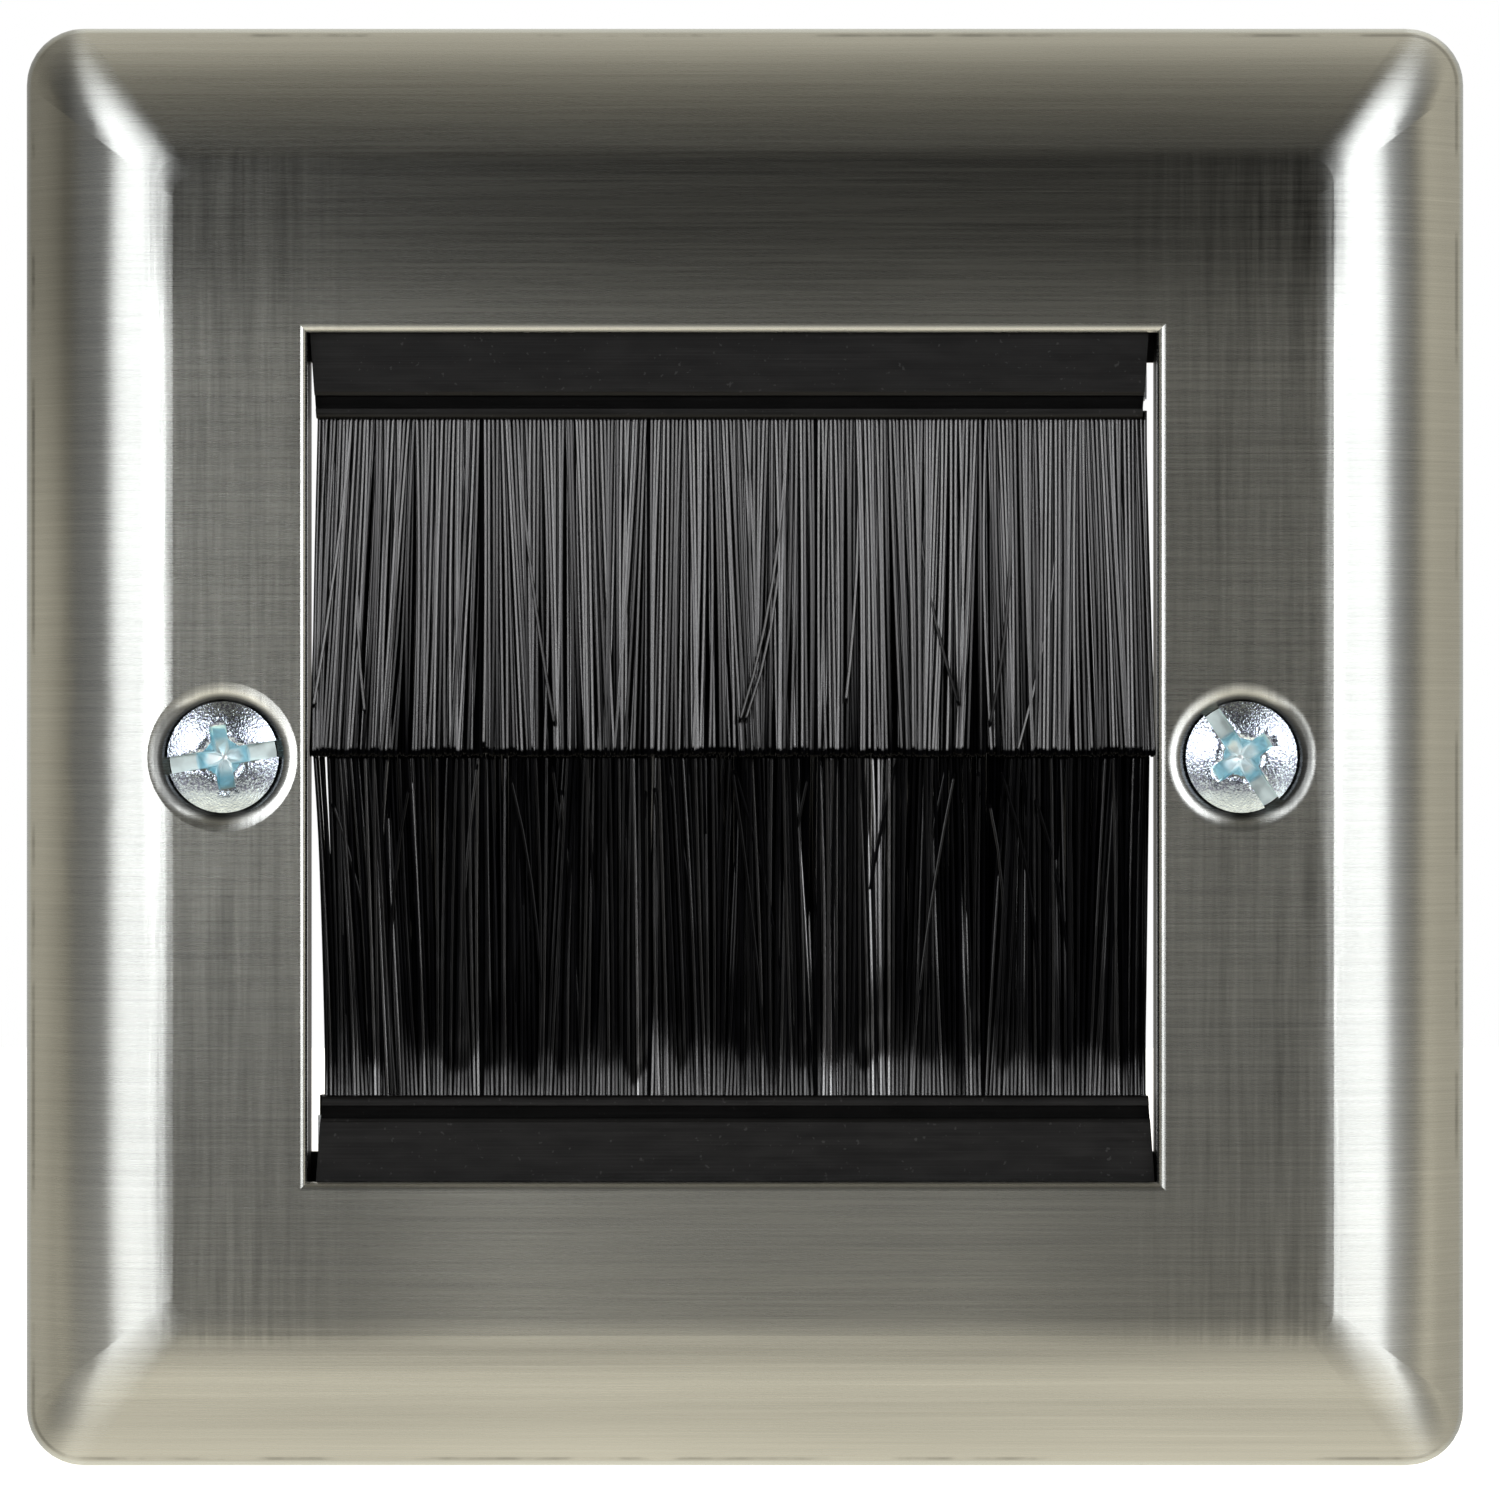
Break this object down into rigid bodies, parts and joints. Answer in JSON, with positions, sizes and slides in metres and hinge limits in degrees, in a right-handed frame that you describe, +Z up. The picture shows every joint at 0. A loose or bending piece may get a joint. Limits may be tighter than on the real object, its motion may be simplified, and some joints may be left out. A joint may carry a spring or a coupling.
{
  "type": "brush cable entry wall plate",
  "caption": "Square brushed-steel wall plate with a bevelled edge, a square cable aperture closed by opposed bristle strips, and raised countersunk fixing screws.",
  "frame": {"origin": "centre of the two fixing screws' pattern, on the wall's surface", "axes": "+Z up, -Y out into the room, +X to the right as seen from the room"},
  "size_m": [0.0859, 0.0258, 0.086],
  "materials": {
    "plate_steel": "horizontally brushed stainless steel",
    "frame_plastic": "moulded black ABS",
    "holder_plastic": "extruded charcoal PVC with fine scratches",
    "bristle_nylon": "black nylon filament",
    "screw_zinc": "bright zinc-plated steel",
    "stud_steel": "copper-flashed weld stud",
    "washer_steel": "phosphated spring steel",
    "channel_steel": "galvanised strip",
    "wire_steel": "galvanised wire"
  },
  "bodies": {
    "wall_plate": {"face_plate": "plate_steel", "rear_frame": "frame_plastic", "weld_studs": "stud_steel", "push_on_washers": "washer_steel", "upper_brush_holder": "holder_plastic", "upper_crimp_channel": "channel_steel", "upper_core_wire": "wire_steel", "upper_filament_fold": "bristle_nylon", "lower_brush_holder": "holder_plastic", "lower_crimp_channel": "channel_steel", "lower_core_wire": "wire_steel", "lower_filament_fold": "bristle_nylon"},
    "upper_bristles_1": {"upper_bristles_1": "bristle_nylon"},
    "lower_bristles_1": {"lower_bristles_1": "bristle_nylon"},
    "upper_bristles_2": {"upper_bristles_2": "bristle_nylon"},
    "lower_bristles_2": {"lower_bristles_2": "bristle_nylon"},
    "upper_bristles_3": {"upper_bristles_3": "bristle_nylon"},
    "lower_bristles_3": {"lower_bristles_3": "bristle_nylon"},
    "upper_bristles_4": {"upper_bristles_4": "bristle_nylon"},
    "lower_bristles_4": {"lower_bristles_4": "bristle_nylon"},
    "upper_bristles_5": {"upper_bristles_5": "bristle_nylon"},
    "lower_bristles_5": {"lower_bristles_5": "bristle_nylon"},
    "left_fixing_screw": {"left_fixing_screw": "screw_zinc"},
    "right_fixing_screw": {"right_fixing_screw": "screw_zinc"}
  },
  "joints": [
    {"name": "upper_bristles_1_tilt", "type": "hinge", "parent": "wall_plate", "child": "upper_bristles_1", "pos_m": [0, -0.00285, 0.0191], "axis": [1, 0, 0], "range_deg": [-60, 60], "stiffness_Nm_per_rad": 0.003},
    {"name": "lower_bristles_1_tilt", "type": "hinge", "parent": "wall_plate", "child": "lower_bristles_1", "pos_m": [0, -0.00285, -0.0191], "axis": [1, 0, 0], "range_deg": [-60, 60], "stiffness_Nm_per_rad": 0.003},
    {"name": "upper_bristles_2_tilt", "type": "hinge", "parent": "wall_plate", "child": "upper_bristles_2", "pos_m": [0, -0.00285, 0.0191], "axis": [1, 0, 0], "range_deg": [-60, 60], "stiffness_Nm_per_rad": 0.003},
    {"name": "lower_bristles_2_tilt", "type": "hinge", "parent": "wall_plate", "child": "lower_bristles_2", "pos_m": [0, -0.00285, -0.0191], "axis": [1, 0, 0], "range_deg": [-60, 60], "stiffness_Nm_per_rad": 0.003},
    {"name": "upper_bristles_3_tilt", "type": "hinge", "parent": "wall_plate", "child": "upper_bristles_3", "pos_m": [0, -0.00285, 0.0191], "axis": [1, 0, 0], "range_deg": [-60, 60], "stiffness_Nm_per_rad": 0.003},
    {"name": "lower_bristles_3_tilt", "type": "hinge", "parent": "wall_plate", "child": "lower_bristles_3", "pos_m": [0, -0.00285, -0.0191], "axis": [1, 0, 0], "range_deg": [-60, 60], "stiffness_Nm_per_rad": 0.003},
    {"name": "upper_bristles_4_tilt", "type": "hinge", "parent": "wall_plate", "child": "upper_bristles_4", "pos_m": [0, -0.00285, 0.0191], "axis": [1, 0, 0], "range_deg": [-60, 60], "stiffness_Nm_per_rad": 0.003},
    {"name": "lower_bristles_4_tilt", "type": "hinge", "parent": "wall_plate", "child": "lower_bristles_4", "pos_m": [0, -0.00285, -0.0191], "axis": [1, 0, 0], "range_deg": [-60, 60], "stiffness_Nm_per_rad": 0.003},
    {"name": "upper_bristles_5_tilt", "type": "hinge", "parent": "wall_plate", "child": "upper_bristles_5", "pos_m": [0, -0.00285, 0.0191], "axis": [1, 0, 0], "range_deg": [-60, 60], "stiffness_Nm_per_rad": 0.003},
    {"name": "lower_bristles_5_tilt", "type": "hinge", "parent": "wall_plate", "child": "lower_bristles_5", "pos_m": [0, -0.00285, -0.0191], "axis": [1, 0, 0], "range_deg": [-60, 60], "stiffness_Nm_per_rad": 0.003},
    {"name": "left_fixing_screw_turn", "type": "hinge", "parent": "wall_plate", "child": "left_fixing_screw", "pos_m": [-0.03015, 0, 0], "axis": [0, 1, 0], "continuous": true},
    {"name": "right_fixing_screw_turn", "type": "hinge", "parent": "wall_plate", "child": "right_fixing_screw", "pos_m": [0.03015, 0, 0], "axis": [0, 1, 0], "continuous": true}
  ],
  "couplings": [
    {"joint": "lower_bristles_1_tilt", "follows": "upper_bristles_1_tilt", "ratio": -1},
    {"joint": "lower_bristles_2_tilt", "follows": "upper_bristles_2_tilt", "ratio": -1},
    {"joint": "lower_bristles_3_tilt", "follows": "upper_bristles_3_tilt", "ratio": -1},
    {"joint": "lower_bristles_4_tilt", "follows": "upper_bristles_4_tilt", "ratio": -1},
    {"joint": "lower_bristles_5_tilt", "follows": "upper_bristles_5_tilt", "ratio": -1}
  ]
}
